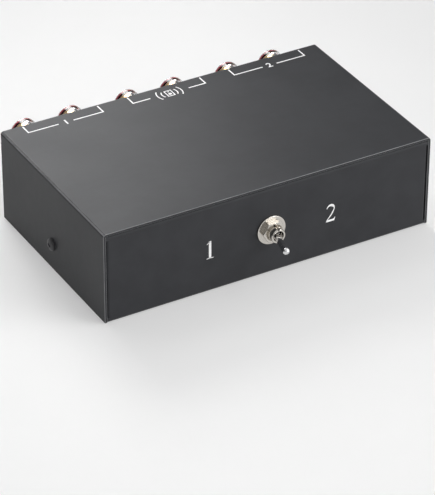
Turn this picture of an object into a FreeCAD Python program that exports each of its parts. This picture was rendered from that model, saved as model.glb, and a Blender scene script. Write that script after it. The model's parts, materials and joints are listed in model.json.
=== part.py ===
import FreeCAD, Part
import math
import os

from FreeCAD import Rotation, Vector

# Speaker selector box, millimetres, +Z up, origin at the middle of the flat underside.
# The toggle lever is on the front (-Y), the twelve binding posts are on the rear (+Y).
# At rest the lever leans to position 1 (-X) and every terminal cap is screwed home.

# Case
CASE_W = 140.0
CASE_D = 83.5
CASE_H = 38.5
SHEET = 1.0
BEND_R = 1.3               # outside radius of a fold
SEAM = 0.15                # gap between the cover and the panels inside it
COVER_LIFT = 0.3           # the cover's walls end this far above the table
PANEL_EDGE_R = 0.8         # pressed edge at the sides of the rear panel
FLANGE = 8.0               # stiffening flanges round the panels
FLANGE_RELIEF = 0.5        # gap where two flanges meet in a corner
WELD = 0.1                 # how far pieces of one moulding run into each other

# Case screws, M2.5 pan head
SCREW_D = 2.5
SCREW_LEN = 6.0
SCREW_HEAD_D = 4.9
SCREW_HEAD_H = 1.5
SCREW_RIM_H = 0.8          # straight rim of the head, below its sloping crown
SCREW_FLAT_D = 3.0         # flat on top of the crown
SCREW_RECESS_W = 0.7
SCREW_RECESS_L = 2.6
SCREW_RECESS_DEPTH = 0.8
SCREW_HOLE_D = 2.9
THREAD_FIT = 0.02          # radial play of a screwed pair
SIDE_SCREW_Z = 11.3
REAR_SCREW_INSET = 7.0     # from the side of the case to the rear screw
EAR_MARGIN = 2.6           # sheet left round the rear screw on the ear
EAR_HALF_H = 4.75
EAR_LAP = 2.5              # height over which an ear is carried by the tray's upturned side

# Binding posts: 3 groups of 2 columns, a red row over a black row
GROUP_PITCH = 45.0
PAIR_PITCH = 20.0
ROW_PITCH = 19.05
COLLAR_D = 11.6
COLLAR_H = 3.0
PANEL_HOLE_D = 8.0
STUD_D = 6.0
STUD_OUT = 10.4            # outer end, measured from the panel
STUD_IN = 8.0              # inner end, measured inwards from the panel's outer face
STUD_FIT = 0.05            # radial play of the stud in what it passes through
BANANA_D = 4.1
BANANA_DEPTH = 16.5
CAP_GAP = 0.15             # closed cap to collar
SHELL_D = 11.0
SHELL_BORE_D = 10.0
SHELL_LEN = 8.35
RUNNING = 0.05             # radial play between brass insert and clear shell
BAND_LEN = 1.9             # knurled band of the insert
SHOULDER = 0.6
BARREL_D = 7.0
INSERT_LEN = 7.2
INSERT_START = 0.15        # insert face behind the shell's inner rim
RING_LEN = 2.0
RING_INSET = 0.1           # ring face below the shell's outer rim
PLATE_W = 10.0             # insulating plate behind each red and black pair
PLATE_T = 2.0
NUT_AF = 10.0
NUT_H = 3.0

# Toggle switch, miniature four-pole changeover
BUSHING_D = 6.0
BUSHING_OUT = 5.9
BUSHING_BORE_D = 4.3
BUSHING_LOWER_D = 4.7
BUSHING_CHAMFER = 0.4
KEYWAY_W = 1.0
KEYWAY_DEPTH = 0.4
FRONT_WASHER_D = 12.0
FRONT_WASHER_H = 0.8
PANEL_NUT_AF = 8.0
PANEL_NUT_H = 2.0
REAR_NUT_GAP = 0.1
LOCK_WASHER_D = 11.0
LOCK_WASHER_H = 0.5
LOCK_TEETH = 8
LOCK_SLOT_W = 1.1
LOCK_SLOT_R = 4.2
HOLE_PLAY = 0.1            # radial play of the bushing in washers and panel
PIVOT_OUT = 2.4            # lever pivot, outwards from the panel face
LEVER_THROW = 23.0         # whole swing between the two positions, degrees
PIVOT_D = 4.0              # ball that the lever swings on
STEM_D = 2.0
TIP_D = 2.8
TIP_AT = 13.3              # pivot to the centre of the rounded tip
TAIL_D = 1.8
FRAME_T = 0.7
FRAME_R = 1.0
FRAME_LEG = 8.6
FRAME_WINDOW_W = 4.0
FRAME_WINDOW_H = 2.4
HOUSING_W = 12.7
HOUSING_L = 22.0
HOUSING_H = 9.0
HOUSING_WALL = 1.1
HOUSING_FLOOR = 1.5
HOUSING_FIT = 0.05
NIB_DEPTH = 0.5
DIVIDER_T = 0.8
DIVIDER_GAP = 0.6          # below the swinging actuator
POLES = 4
POLE_PITCH = 4.7
CONTACT_PITCH = 4.7
ACTUATOR_W = 4.0
ACTUATOR_GAP = 0.7         # strap to the near face of the cross bar, lever upright
ACTUATOR_T = 2.2
ACTUATOR_L = 18.6
NOSE_W = 2.2
NOSE_OUT = 1.6             # nose beyond the cross bar
ROCKER_GAP = 0.3
ROCKER_T = 0.4
ROCKER_W = 2.2
ROCKER_HALF = 3.9
ROCKER_V = 12.0            # each arm leans towards the lever by this angle
ROCKER_SWING = 16.0        # whole rock between the two positions, degrees
BLADE_T = 0.7
BLADE_W = 2.0
BLADE_OUT = 4.5
BLADE_SLOT_FIT = 0.05
PAD_T = 0.5
PAD_L = 1.8
CONTACT_GAP = 0.15

# Places worked out from the sizes above
FRONT_Y = -CASE_D / 2
REAR_Y = CASE_D / 2
MID_Z = CASE_H / 2
PANEL_HALF_W = CASE_W / 2 - SHEET - SEAM
PANEL_TOP = CASE_H - SHEET - SEAM
SIDE_START = FRONT_Y + FLANGE + FLANGE_RELIEF
SIDE_FLANGE_H = MID_Z - EAR_HALF_H + EAR_LAP
SIDE_END = REAR_Y - SHEET - BEND_R
GROUPS = [("amp1", -GROUP_PITCH), ("speaker", 0.0), ("amp2", GROUP_PITCH)]
SIDES = [("left", -1), ("right", 1)]
ROWS = [("plus", 1), ("minus", -1)]
REAR_SCREW_X = CASE_W / 2 - REAR_SCREW_INSET
CAP_START = COLLAR_H + CAP_GAP
SHELL_END = CAP_START + SHELL_LEN
INSERT_FACE = CAP_START + INSERT_START
INSERT_END = INSERT_FACE + INSERT_LEN
BAND_D = SHELL_BORE_D - 2 * RUNNING
RING_TOP = SHELL_END - RING_INSET
NUT_IN = SHEET + PLATE_T
REAR_NUT_V = SHEET + LOCK_WASHER_H
FRAME_V = REAR_NUT_V + PANEL_NUT_H + REAR_NUT_GAP
HOUSING_V = FRAME_V + FRAME_T
HOUSING_END = HOUSING_V + HOUSING_H
FLOOR_V = HOUSING_END - HOUSING_FLOOR
BLADE_END = HOUSING_END + BLADE_OUT
ACTUATOR_V = HOUSING_V + ACTUATOR_GAP
NOSE_V = ACTUATOR_V + ACTUATOR_T + NOSE_OUT
ROCKER_TOP = NOSE_V + ROCKER_GAP
ROCKER_AXIS = ROCKER_TOP + ROCKER_T
POLE_Z = [MID_Z + (POLES / 2 - 0.5 - i) * POLE_PITCH for i in range(POLES)]


# Shared shapes

def box(x0, x1, y0, y1, z0, z1):
    return Part.makeBox(x1 - x0, y1 - y0, z1 - z0, Vector(x0, y0, z0))


def rod(diameter, start, length, axis):
    return Part.makeCylinder(diameter / 2, length, start, axis)


def turned(profile):
    """Solid turned about the Y axis from (radius, y) points, in order round the section."""
    points = [Vector(r, y, 0) for r, y in profile]
    face = Part.Face(Part.makePolygon(points + points[:1]))
    return face.revolve(Vector(0, 0, 0), Vector(0, 1, 0), 360)


def ring(outer_d, inner_d, y0, y1):
    return turned([(inner_d / 2, y0), (outer_d / 2, y0), (outer_d / 2, y1), (inner_d / 2, y1)])


def hex_prism(across_flats, y0, y1):
    """Hexagon about the Y axis with a flat up and down."""
    corner = across_flats / math.sqrt(3)
    turns = [math.radians(60 * i) for i in range(6)]
    points = [Vector(corner * math.cos(turn), y0, corner * math.sin(turn)) for turn in turns]
    return Part.Face(Part.makePolygon(points + points[:1])).extrude(Vector(0, y1 - y0, 0))


def folded(corners, thickness, radius, to_point, extrude):
    """Sheet folded square: corners run along the outside, every fold turning the same way.

    to_point places a 2D point in space; extrude is the vector that gives the sheet its width.
    """
    corners = [Vector(a, b, 0) for a, b in corners]
    runs = [(q - p).normalize() for p, q in zip(corners, corners[1:])]
    turn = 1 if runs[0].cross(runs[1]).z > 0 else -1
    inward = [Vector(-d.y * turn, d.x * turn, 0) for d in runs]
    starts = [corners[i] + (runs[i] * radius if i else Vector()) for i in range(len(runs))]
    last = len(runs) - 1
    ends = [corners[i + 1] - (runs[i] * radius if i < last else Vector()) for i in range(len(runs))]

    def side(offset):
        edges = []
        for i in range(len(runs)):
            shift = inward[i] * offset
            edges.append(Part.LineSegment(to_point(starts[i] + shift), to_point(ends[i] + shift)).toShape())
            if i < last:
                centre = ends[i] + inward[i] * radius
                middle = centre + (corners[i + 1] - centre).normalize() * (radius - offset)
                begin = ends[i] + shift
                finish = starts[i + 1] + inward[i + 1] * offset
                edges.append(Part.Arc(to_point(begin), to_point(middle), to_point(finish)).toShape())
        return edges

    open_ends = [(starts[0], inward[0]), (ends[last], inward[last])]
    caps = [Part.LineSegment(to_point(p), to_point(p + d * thickness)).toShape() for p, d in open_ends]
    outline = Part.Wire(Part.__sortEdges__(side(0) + side(thickness) + caps))
    return Part.Face(outline).extrude(extrude)


def fuse_all(shapes):
    whole = shapes[0].multiFuse(shapes[1:])
    return whole.removeSplitter()


def mirrored(shape):
    """The same piece on the other side of the case."""
    return shape.mirror(Vector(0, 0, 0), Vector(1, 0, 0))


def edges_along(shape, axis, test):
    """Straight edges parallel to axis whose midpoint passes the test."""
    found = []
    for edge in shape.Edges:
        if edge.Curve.TypeId != "Part::GeomLine":
            continue
        if abs(edge.tangentAt(edge.FirstParameter).dot(axis)) > 0.999 and test(edge.CenterOfMass):
            found.append(edge)
    return found


def export(name, shapes):
    solids = shapes if isinstance(shapes, list) else [shapes]
    for solid in solids:
        if not solid.isValid() or len(solid.Solids) != 1:
            raise ValueError(name + " is not one sound solid")
    whole = solids[0] if len(solids) == 1 else Part.makeCompound(solids)
    whole.exportStep("parts/" + name + ".step")


# Case

def top_cover():
    half = CASE_W / 2
    u_section = [(-half, COVER_LIFT), (-half, CASE_H), (half, CASE_H), (half, COVER_LIFT)]
    cover = folded(u_section, SHEET, BEND_R, lambda p: Vector(p.x, FRONT_Y, p.y), Vector(0, CASE_D, 0))
    for x in (-half, half):
        side = rod(SCREW_HOLE_D, Vector(x - 2 * SHEET, 0, SIDE_SCREW_Z), 4 * SHEET, Vector(1, 0, 0))
        cover = cover.cut(side)
    return cover


def tray_side():
    """Upturned side of the tray with the screwed ear behind the rear panel, on the +X side."""
    back = REAR_Y - SHEET
    l_section = [(PANEL_HALF_W - 2 * BEND_R, 0), (PANEL_HALF_W, 0), (PANEL_HALF_W, SIDE_FLANGE_H)]
    flange = folded(l_section, SHEET, BEND_R, lambda p: Vector(p.x, SIDE_START, p.y),
                    Vector(0, SIDE_END - SIDE_START, 0))
    ear_low = MID_Z - EAR_HALF_H
    ear_section = [(REAR_SCREW_X - EAR_MARGIN, back), (PANEL_HALF_W, back), (PANEL_HALF_W, back - FLANGE)]
    upwards = Vector(0, 0, 2 * EAR_HALF_H)
    ear = folded(ear_section, SHEET, BEND_R, lambda p: Vector(p.x, p.y, ear_low), upwards)
    side = fuse_all([flange, ear])
    thread = SCREW_D + 2 * THREAD_FIT
    side_start = Vector(PANEL_HALF_W - 2 * SHEET, 0, SIDE_SCREW_Z)
    side = side.cut(rod(thread, side_start, 3 * SHEET, Vector(1, 0, 0)))
    return side.cut(rod(thread, Vector(REAR_SCREW_X, back + SHEET, MID_Z), 3 * SHEET, Vector(0, -1, 0)))


def base_tray():
    """Floor and front panel in one sheet, with flanges all round and the toggle hole."""
    width = 2 * PANEL_HALF_W
    spine = [(REAR_Y - SHEET - SEAM, 0), (FRONT_Y, 0), (FRONT_Y, PANEL_TOP), (FRONT_Y + FLANGE, PANEL_TOP)]
    plate = folded(spine, SHEET, BEND_R, lambda p: Vector(-width / 2, p.x, p.y), Vector(width, 0, 0))
    low = BEND_R + FLANGE_RELIEF
    high = PANEL_TOP - low
    fold = PANEL_HALF_W - BEND_R
    for x in (-PANEL_HALF_W, fold):
        plate = plate.cut(box(x, x + BEND_R, FRONT_Y, FRONT_Y + SHEET, low, high))
        plate = plate.cut(box(x, x + BEND_R, SIDE_START, SIDE_END, 0, SHEET))
    corner_section = [(fold - BEND_R, FRONT_Y), (PANEL_HALF_W, FRONT_Y), (PANEL_HALF_W, FRONT_Y + FLANGE)]
    flange = folded(corner_section, SHEET, BEND_R, lambda p: Vector(p.x, p.y, low), Vector(0, 0, high - low))
    tray = fuse_all([plate, flange, mirrored(flange), tray_side(), mirrored(tray_side())])
    hole = rod(BUSHING_D + 2 * HOLE_PLAY, Vector(0, FRONT_Y - SHEET, MID_Z), 3 * SHEET, Vector(0, 1, 0))
    return tray.cut(hole)


def rear_panel():
    outline = [(REAR_Y, SEAM), (REAR_Y, PANEL_TOP), (REAR_Y - FLANGE, PANEL_TOP)]
    width = 2 * PANEL_HALF_W
    panel = folded(outline, SHEET, BEND_R, lambda p: Vector(-width / 2, p.x, p.y), Vector(width, 0, 0))
    rims = edges_along(panel, Vector(0, 0, 1),
                       lambda c: c.y > REAR_Y - 0.01 and abs(c.x) > PANEL_HALF_W - 0.01)
    panel = panel.makeFillet(PANEL_EDGE_R, rims)
    places = [(PANEL_HOLE_D, post["x"], post["z"]) for post in POSTS]
    places += [(SCREW_HOLE_D, x, MID_Z) for x in (-REAR_SCREW_X, REAR_SCREW_X)]
    start = REAR_Y + SHEET
    holes = [rod(hole_d, Vector(x, start, z), 3 * SHEET, Vector(0, -1, 0)) for hole_d, x, z in places]
    return panel.cut(Part.makeCompound(holes))


def pan_head_screw():
    """Screw along +Y with the underside of its head at y = 0 and its shank running inwards."""
    head = SCREW_HEAD_D / 2
    shank = SCREW_D / 2
    screw = turned([(0, -SCREW_LEN), (shank, -SCREW_LEN), (shank, 0), (head, 0), (head, SCREW_RIM_H),
                    (SCREW_FLAT_D / 2, SCREW_HEAD_H), (0, SCREW_HEAD_H)])
    floor = SCREW_HEAD_H - SCREW_RECESS_DEPTH
    half_l = SCREW_RECESS_L / 2
    half_w = SCREW_RECESS_W / 2
    bar = box(-half_l, half_l, floor, SCREW_HEAD_H + 1, -half_w, half_w)
    cross = bar.fuse(box(-half_w, half_w, floor, SCREW_HEAD_H + 1, -half_l, half_l))
    return screw.cut(cross)


def side_screws():
    screw = pan_head_screw()
    right = screw.copy()
    right.Placement = FreeCAD.Placement(Vector(CASE_W / 2, 0, SIDE_SCREW_Z), Rotation(Vector(0, 0, 1), -90))
    left = screw.copy()
    left.Placement = FreeCAD.Placement(Vector(-CASE_W / 2, 0, SIDE_SCREW_Z), Rotation(Vector(0, 0, 1), 90))
    return [left, right]


def rear_screws():
    screw = pan_head_screw()
    return [screw.translated(Vector(x, REAR_Y, MID_Z)) for x in (-REAR_SCREW_X, REAR_SCREW_X)]


# Binding posts, each modelled about the Y axis with y = 0 on the outer face of the rear panel

def collar():
    """Coloured insulating collar that spaces the cap off the panel."""
    return ring(COLLAR_D, STUD_D + 2 * STUD_FIT, 0, COLLAR_H)


def stud():
    """Threaded tube that a 4 mm plug enters."""
    r = STUD_D / 2
    bore = BANANA_D / 2
    bottom = STUD_OUT - BANANA_DEPTH
    return turned([(0, -STUD_IN), (r, -STUD_IN), (r, STUD_OUT), (bore, STUD_OUT), (bore, bottom),
                   (0, bottom)])


def post_nut():
    inner_end = -NUT_IN - NUT_H
    nut = hex_prism(NUT_AF, inner_end, -NUT_IN)
    return nut.cut(rod(STUD_D + 2 * THREAD_FIT, Vector(0, inner_end - 1, 0), NUT_H + 2, Vector(0, 1, 0)))


def inner_plates():
    """Insulating plates that keep the nuts of each red and black pair off the panel."""
    plates = []
    inwards = Vector(0, -1, 0)
    half_h = (ROW_PITCH + PLATE_W) / 2
    face = REAR_Y - SHEET
    for upper in [post for post in POSTS if post["row"] == "plus"]:
        x = upper["x"]
        plate = box(x - PLATE_W / 2, x + PLATE_W / 2, face - PLATE_T, face, MID_Z - half_h, MID_Z + half_h)
        for z in (upper["z"], upper["z"] - ROW_PITCH):
            plate = plate.cut(rod(STUD_D + 2 * STUD_FIT, Vector(x, REAR_Y, z), SHEET + 2 * PLATE_T, inwards))
        plates.append(plate)
    return plates


def cap_shell():
    """Clear sleeve of the screw cap."""
    return ring(SHELL_D, SHELL_BORE_D, CAP_START, SHELL_END)


def cap_ring():
    """Coloured end ring, pressed into the sleeve, with a dished face that leads the plug in."""
    rim = SHELL_BORE_D / 2
    bore = BARREL_D / 2 + RUNNING
    foot = RING_TOP - RING_LEN
    return turned([(bore, foot), (rim, foot), (rim, RING_TOP), (bore, INSERT_END)])


def cap_insert():
    """Brass nut of the cap: wide band that is knurled, coned shoulder and smooth barrel."""
    band = BAND_D / 2
    barrel = BARREL_D / 2
    bore = STUD_D / 2 + RUNNING
    band_end = INSERT_FACE + BAND_LEN
    return turned([(bore, INSERT_FACE), (band, INSERT_FACE), (band, band_end), (barrel, band_end + SHOULDER),
                   (barrel, INSERT_END), (bore, INSERT_END)])


def posts():
    """The twelve places, with the name and centre of each."""
    found = []
    for group, x in GROUPS:
        for side, sign in SIDES:
            for row, up in ROWS:
                found.append({"name": group + "_" + side + "_" + row,
                              "row": row,
                              "x": x + sign * PAIR_PITCH / 2,
                              "z": MID_Z + up * ROW_PITCH / 2})
    return found


POSTS = posts()


def at_post(shape, post):
    return shape.translated(Vector(post["x"], REAR_Y, post["z"]))


def at_all_posts(shape, row=None):
    return [at_post(shape, post) for post in POSTS if row in (None, post["row"])]


# Toggle switch, modelled about the Y axis with y = 0 on the outer face of the front panel, inwards +Y

def in_place(shape):
    return shape.translated(Vector(0, FRONT_Y, MID_Z))


def toggle_bushing():
    """Threaded bushing, riveted into the strap, open at its mouth round the lever."""
    r = BUSHING_D / 2
    bore = BUSHING_BORE_D / 2
    lower = BUSHING_LOWER_D / 2
    plate = FRAME_V + FRAME_T
    body = turned([(bore, -BUSHING_OUT), (r - BUSHING_CHAMFER, -BUSHING_OUT),
                   (r, -BUSHING_OUT + BUSHING_CHAMFER), (r, plate), (lower, plate), (lower, 0), (bore, 0)])
    keyway = box(-KEYWAY_W / 2, KEYWAY_W / 2, -BUSHING_OUT - 1, FRAME_V, r - KEYWAY_DEPTH, r + 1)
    return in_place(body.cut(keyway))


def toggle_washer():
    return in_place(ring(FRONT_WASHER_D, BUSHING_D + 2 * HOLE_PLAY, -FRONT_WASHER_H, 0))


def toggle_lock_washer():
    """Lock washer with slots that leave teeth round its bore."""
    inner = SHEET
    outer = SHEET + LOCK_WASHER_H
    washer = ring(LOCK_WASHER_D, BUSHING_D + 2 * HOLE_PLAY, inner, outer)
    slot = box(0, LOCK_SLOT_R, inner - 1, outer + 1, -LOCK_SLOT_W / 2, LOCK_SLOT_W / 2)
    turns = [360 * i / LOCK_TEETH for i in range(LOCK_TEETH)]
    slots = [slot.rotated(Vector(0, 0, 0), Vector(0, 1, 0), turn) for turn in turns]
    return in_place(washer.cut(Part.makeCompound(slots)))


def panel_nut(y0):
    nut = hex_prism(PANEL_NUT_AF, y0, y0 + PANEL_NUT_H)
    bore = rod(BUSHING_D + 2 * THREAD_FIT, Vector(0, y0 - 1, 0), PANEL_NUT_H + 2, Vector(0, 1, 0))
    return in_place(nut.cut(bore))


def toggle_nuts():
    return [panel_nut(-FRONT_WASHER_H - PANEL_NUT_H), panel_nut(REAR_NUT_V)]


def toggle_frame():
    """Steel strap over the switch, folded down its two ends and snapped over the housing's nibs."""
    reach = HOUSING_L / 2 + HOUSING_FIT + FRAME_T
    leg_end = FRAME_V + FRAME_LEG
    u_section = [(-reach, leg_end), (-reach, FRAME_V), (reach, FRAME_V), (reach, leg_end)]
    half = HOUSING_W / 2
    strap = folded(u_section, FRAME_T, FRAME_R, lambda p: Vector(-half, p.y, p.x), Vector(2 * half, 0, 0))
    near = leg_end - 2 * FRAME_WINDOW_H
    half_window = FRAME_WINDOW_W / 2
    strap = strap.cut(box(-half_window, half_window, near, near + FRAME_WINDOW_H, -2 * reach, 2 * reach))
    hole = rod(BUSHING_D + 2 * THREAD_FIT, Vector(0, FRAME_V - 1, 0), FRAME_T + 2, Vector(0, 1, 0))
    return in_place(strap.cut(hole))


def toggle_housing():
    """Moulded case: one room per pole under the actuator, blade slots in the floor, nibs at the ends."""
    half_w = HOUSING_W / 2
    half_l = HOUSING_L / 2
    body = box(-half_w, half_w, HOUSING_V, HOUSING_END, -half_l, half_l)
    under_folds = edges_along(body, Vector(1, 0, 0), lambda c: c.y < HOUSING_V + 0.01)
    body = body.makeChamfer(FRAME_R - FRAME_T, under_folds)
    room_w = half_w - HOUSING_WALL
    room_l = half_l - HOUSING_WALL
    body = body.cut(box(-room_w, room_w, HOUSING_V - 1, FLOOR_V, -room_l, room_l))
    divider_top = ACTUATOR_V + ACTUATOR_T + DIVIDER_GAP
    for i in range(1, POLES):
        low = (POLES / 2 - i) * POLE_PITCH - DIVIDER_T / 2
        wide = room_w + WELD
        body = body.fuse(box(-wide, wide, divider_top, FLOOR_V + WELD, low, low + DIVIDER_T))
    nib_v = FRAME_V + FRAME_LEG - 2 * FRAME_WINDOW_H + HOUSING_FIT
    nib_end = nib_v + FRAME_WINDOW_H - 2 * HOUSING_FIT
    nib_w = FRAME_WINDOW_W / 2 - HOUSING_FIT
    for sign in (-1, 1):
        face = sign * half_l
        outline = [(nib_v, face - sign * WELD), (nib_v, face + sign * NIB_DEPTH), (nib_end, face),
                   (nib_end, face - sign * WELD)]
        points = [Vector(-nib_w, v, z) for v, z in outline]
        body = body.fuse(Part.Face(Part.makePolygon(points + points[:1])).extrude(Vector(2 * nib_w, 0, 0)))
    body = body.removeSplitter()
    half_t = BLADE_T / 2 + BLADE_SLOT_FIT
    half_blade = BLADE_W / 2 + BLADE_SLOT_FIT
    slot = box(-half_t, half_t, FLOOR_V - 1, HOUSING_END + 1, -half_blade, half_blade)
    slots = [slot.translated(Vector(x, 0, z)) for x, z in blade_places()]
    return in_place(body.cut(Part.makeCompound(slots)))


def blade_places():
    """(x, z) of the twelve solder blades: a column for each side, the commons between."""
    return [(column * CONTACT_PITCH, z - MID_Z) for z in POLE_Z for column in (-1, 0, 1)]


def rocker_low_end():
    """Depth of the underside of a rocker's end when that end is pressed down."""
    v = math.radians(ROCKER_V)
    half_swing = math.radians(ROCKER_SWING / 2)
    x = ROCKER_HALF * math.cos(v)
    y = ROCKER_TOP + ROCKER_T / math.cos(v) - x * math.tan(v) - ROCKER_AXIS
    return ROCKER_AXIS + x * math.sin(half_swing) + y * math.cos(half_swing)


def toggle_terminals():
    """Twelve blades: those at the sides carry a contact pad, the middle ones the rocker's fulcrum."""
    blades = []
    for x, z in blade_places():
        low = z - BLADE_W / 2
        high = z + BLADE_W / 2
        if x == 0:
            blade = box(-BLADE_T / 2, BLADE_T / 2, ROCKER_AXIS + CONTACT_GAP, BLADE_END, low, high)
        else:
            top = rocker_low_end() + CONTACT_GAP
            blade = box(x - BLADE_T / 2, x + BLADE_T / 2, top, BLADE_END, low, high)
            inward = x - math.copysign(PAD_L - BLADE_T / 2, x)
            outer = x + math.copysign(BLADE_T / 2, x)
            pad = box(min(inward, outer), max(inward, outer), top, top + PAD_T, low, high)
            blade = blade.fuse(pad).removeSplitter()
        blades.append(in_place(blade))
    return blades


def toggle_contacts():
    """Four rocking contacts, pressed down on the side away from the lever's tip."""
    v = math.radians(ROCKER_V)
    x = ROCKER_HALF * math.cos(v)
    rise = ROCKER_HALF * math.sin(v)
    thick = ROCKER_T / math.cos(v)
    section = [(-x, -rise), (0, 0), (x, -rise), (x, thick - rise), (0, thick), (-x, thick - rise)]
    points = [Vector(a, ROCKER_TOP + b, -ROCKER_W / 2) for a, b in section]
    rocker = Part.Face(Part.makePolygon(points + points[:1])).extrude(Vector(0, 0, ROCKER_W))
    rocker = rocker.rotated(Vector(0, ROCKER_AXIS, 0), Vector(0, 0, 1), ROCKER_SWING / 2)
    return [in_place(rocker.translated(Vector(0, 0, z - MID_Z))) for z in POLE_Z]


def lean(shape):
    """Turn a lever piece from the middle of its swing to the rest position."""
    return in_place(shape.rotated(Vector(0, -PIVOT_OUT, 0), Vector(0, 0, 1), -LEVER_THROW / 2))


def toggle_lever():
    """Round lever: domed tip, tapered stem, pivot ball and the thin tail that drives the actuator."""
    tip_r = TIP_D / 2
    stem_r = STEM_D / 2
    pivot_r = PIVOT_D / 2
    tail_r = TAIL_D / 2
    out = -PIVOT_OUT
    tail_end = ACTUATOR_V + ACTUATOR_T / 2
    tip = out - TIP_AT
    slant = math.sqrt(0.5)
    dome = Part.Arc(Vector(0, tip - tip_r, 0), Vector(tip_r * slant, tip - tip_r * slant, 0),
                    Vector(tip_r, tip, 0)).toShape()
    ball_start = Vector(stem_r, out - math.sqrt(pivot_r ** 2 - stem_r ** 2), 0)
    ball_end = Vector(tail_r, out + math.sqrt(pivot_r ** 2 - tail_r ** 2), 0)
    stem = Part.LineSegment(Vector(tip_r, tip, 0), ball_start).toShape()
    ball = Part.Arc(ball_start, Vector(pivot_r, out, 0), ball_end).toShape()
    points = [ball_end, Vector(tail_r, tail_end, 0), Vector(0, tail_end, 0), Vector(0, tip - tip_r, 0)]
    tail = [Part.LineSegment(p, q).toShape() for p, q in zip(points, points[1:])]
    lever = Part.Face(Part.Wire([dome, stem, ball] + tail)).revolve(Vector(0, 0, 0), Vector(0, 1, 0), 360)
    return lean(lever)


def toggle_actuator():
    """Moulded cross bar on the lever's tail with one rounded nose for each rocking contact."""
    far = ACTUATOR_V + ACTUATOR_T
    bar = box(-ACTUATOR_W / 2, ACTUATOR_W / 2, ACTUATOR_V, far, -ACTUATOR_L / 2, ACTUATOR_L / 2)
    half = NOSE_W / 2
    corners = [Vector(-half, NOSE_V - half, 0), Vector(-half, far - WELD, 0), Vector(half, far - WELD, 0),
               Vector(half, NOSE_V - half, 0)]
    edges = [Part.LineSegment(p, q).toShape() for p, q in zip(corners, corners[1:])]
    edges.append(Part.Arc(corners[3], Vector(0, NOSE_V, 0), corners[0]).toShape())
    nose = Part.Face(Part.Wire(edges)).extrude(Vector(0, 0, NOSE_W))
    noses = [nose.translated(Vector(0, 0, z - MID_Z - half)) for z in POLE_Z]
    bar = fuse_all([bar] + noses)
    depth = ACTUATOR_T / 2 + THREAD_FIT
    socket = rod(TAIL_D + 2 * THREAD_FIT, Vector(0, ACTUATOR_V - 1, 0), depth + 1, Vector(0, 1, 0))
    return lean(bar.cut(socket))


# Build

def main():
    os.makedirs("parts", exist_ok=True)
    export("top_cover", top_cover())
    export("base_tray", base_tray())
    export("rear_panel", rear_panel())
    export("side_screws", side_screws())
    export("rear_screws", rear_screws())
    export("post_collars_red", at_all_posts(collar(), "plus"))
    export("post_collars_black", at_all_posts(collar(), "minus"))
    export("post_studs", at_all_posts(stud()))
    export("post_inner_plates", inner_plates())
    export("post_nuts", at_all_posts(post_nut()))
    shell = cap_shell()
    insert = cap_insert()
    end_ring = cap_ring()
    for post in POSTS:
        export("cap_shell_" + post["name"], at_post(shell, post))
        export("cap_insert_" + post["name"], at_post(insert, post))
        export("cap_ring_" + post["name"], at_post(end_ring, post))
    export("toggle_bushing", toggle_bushing())
    export("toggle_washer", toggle_washer())
    export("toggle_lock_washer", toggle_lock_washer())
    export("toggle_nuts", toggle_nuts())
    export("toggle_frame", toggle_frame())
    export("toggle_housing", toggle_housing())
    export("toggle_terminals", toggle_terminals())
    export("toggle_contacts", toggle_contacts())
    export("toggle_lever", toggle_lever())
    export("toggle_actuator", toggle_actuator())


main()
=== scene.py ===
import json
import math

import bmesh
import bpy
from bpy.props import FloatProperty, FloatVectorProperty, IntProperty, PointerProperty
from mathutils import Matrix, Vector


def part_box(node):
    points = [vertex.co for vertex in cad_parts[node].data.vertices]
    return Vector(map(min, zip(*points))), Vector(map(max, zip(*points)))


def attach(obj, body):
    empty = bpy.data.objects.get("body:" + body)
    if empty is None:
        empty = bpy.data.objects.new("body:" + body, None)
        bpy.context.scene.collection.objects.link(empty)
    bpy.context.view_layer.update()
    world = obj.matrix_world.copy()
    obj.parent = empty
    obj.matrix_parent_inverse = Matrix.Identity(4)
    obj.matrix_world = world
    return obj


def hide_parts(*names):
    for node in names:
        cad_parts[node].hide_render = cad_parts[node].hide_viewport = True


bl_info = {
    "name": "Speaker selector box",
    "version": (1, 0, 0),
    "blender": (4, 5, 0),
    "location": "3D View > Sidebar > Selector",
    "description": "Looks of a speaker selector box with a toggle switch and twelve binding posts",
    "category": "Object",
}

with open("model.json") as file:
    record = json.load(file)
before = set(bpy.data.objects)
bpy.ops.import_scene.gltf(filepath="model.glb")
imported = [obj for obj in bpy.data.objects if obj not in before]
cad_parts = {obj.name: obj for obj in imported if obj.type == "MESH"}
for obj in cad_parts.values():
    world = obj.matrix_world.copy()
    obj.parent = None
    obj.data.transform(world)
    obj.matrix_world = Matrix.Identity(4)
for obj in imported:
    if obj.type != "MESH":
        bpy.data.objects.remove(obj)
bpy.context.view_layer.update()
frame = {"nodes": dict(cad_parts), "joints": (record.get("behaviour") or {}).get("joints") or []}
NODES = frame["nodes"]

MM = 0.001
COVER_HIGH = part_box("top_cover")[1]
FRONT_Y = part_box("base_tray")[0].y
REAR_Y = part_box("rear_panel")[1].y
TOP_Z = COVER_HIGH.z
MID_Z = sum(corner.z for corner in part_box("toggle_washer")) / 2
PROUD = 0.01 * MM

# In millimetres
GROUP_X = 45.0
PLUS_Z = 28.8
MINUS_Z = 9.5
BRACKET_DEPTH = 5.8
SCREW_HEAD = 2.45
NUT_ACROSS = 8.0

# Colour of the coat at its edges, lighter for edge wear and for a painted highlight, and how much of the
# floor shows as plain white
WORN_AND_HIGHLIGHT_COAT = (0.16, 0.162, 0.168)
WHITE_SHARE = 0.3

# Lens, place, direction and upright of the camera
VIEW_LENS = 214.6
VIEW_FROM = (-0.4761, -0.8339, 0.6104)
VIEW_ALONG = (0.4167, 0.7282, -0.5442)
VIEW_UP = (0.267, 0.474, 0.839)


def find_posts():
    """Name, colour and centre on the rear panel of every binding post."""
    found = []
    for joint in frame["joints"]:
        if joint["name"].startswith("cap_turn_"):
            name = joint["name"].replace("cap_turn_", "")
            found.append({"name": name, "red": name.endswith("plus"), "at": Vector(joint["pos_m"])})
    return found


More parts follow.
